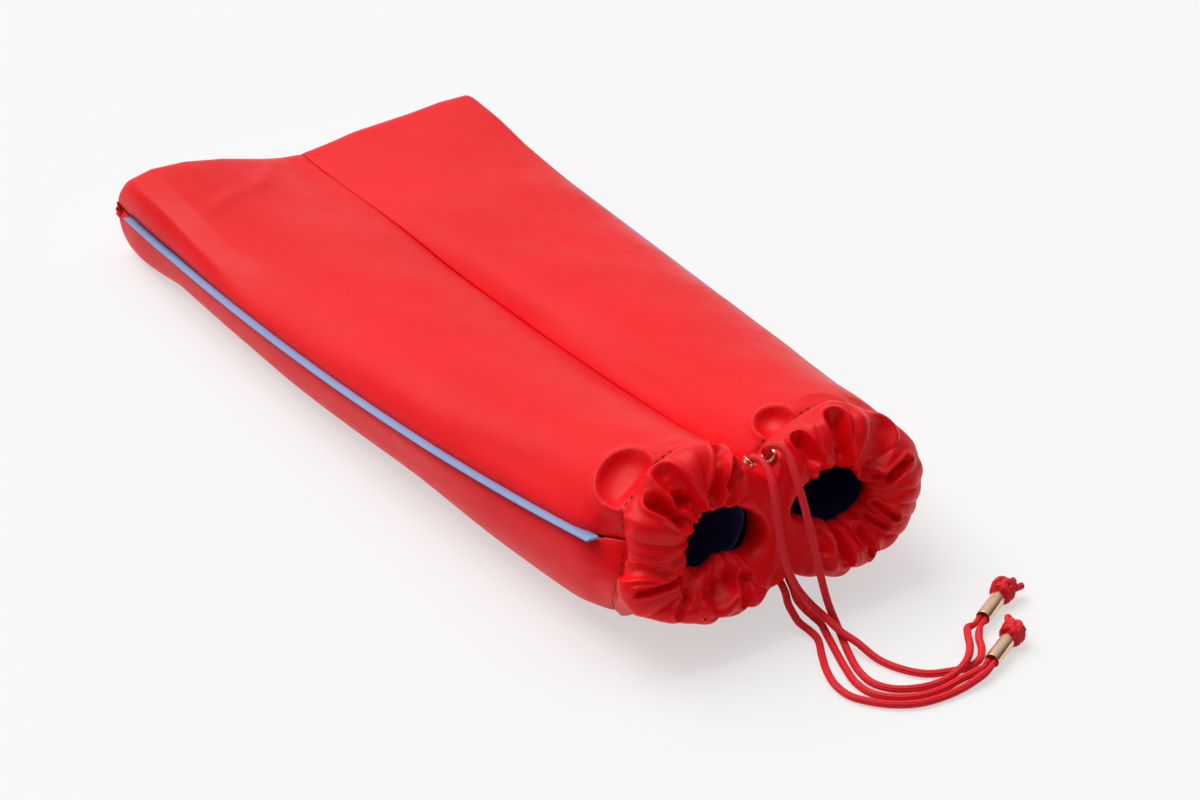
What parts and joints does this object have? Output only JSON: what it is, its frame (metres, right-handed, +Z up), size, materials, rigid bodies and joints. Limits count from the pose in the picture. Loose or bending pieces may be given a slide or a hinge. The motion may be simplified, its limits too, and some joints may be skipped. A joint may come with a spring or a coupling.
{
  "type": "kinchaku drawstring pouch",
  "caption": "Soft leather drawstring pouch with two padded lobes side by side, a gathered collar round each pocket mouth, and paired cords with metal beads and knots.",
  "frame": {"origin": "on the table, under the middle of the pouch itself, cords left out", "axes": "+X to the right, +Y from the mouth to the closed end, +Z up"},
  "size_m": [0.1986, 0.4883, 0.0744],
  "materials": {
    "leather_red": "smooth semi-gloss nappa",
    "leather_dark": "smooth satin",
    "lining_navy": "matt woven lining",
    "strip_blue": "smooth satin",
    "cord_red": "braided, slight sheen",
    "gold": "polished pale gold"
  },
  "bodies": {
    "pouch": {"left_top_panel": "leather_red", "left_bottom_panel": "leather_red", "right_top_panel": "leather_red", "right_bottom_panel": "leather_red", "left_top_casing": "leather_red", "left_bottom_casing": "leather_red", "right_top_casing": "leather_red", "right_bottom_casing": "leather_red", "divider": "leather_dark", "left_lining": "lining_navy", "right_lining": "lining_navy", "left_side_strip": "strip_blue", "right_side_strip": "strip_blue", "left_top_eyelet": "gold", "left_bottom_eyelet": "gold", "right_top_eyelet": "gold", "right_bottom_eyelet": "gold", "left_casing_cord": "cord_red", "right_casing_cord": "cord_red", "left_top_cord": "cord_red", "right_top_cord": "cord_red", "left_bottom_cord": "cord_red", "right_bottom_cord": "cord_red", "top_knot": "cord_red", "bottom_knot": "cord_red"},
    "top_bead": {"top_bead": "gold"},
    "bottom_bead": {"bottom_bead": "gold"}
  },
  "joints": [
    {"name": "top_bead_slide", "type": "slide", "parent": "pouch", "child": "top_bead", "axis": [-0.8867, -0.4605, -0.0412], "range_m": [0, 0.004]},
    {"name": "bottom_bead_slide", "type": "slide", "parent": "pouch", "child": "bottom_bead", "axis": [-0.8938, -0.4469, -0.0389], "range_m": [0, 0.004]}
  ]
}
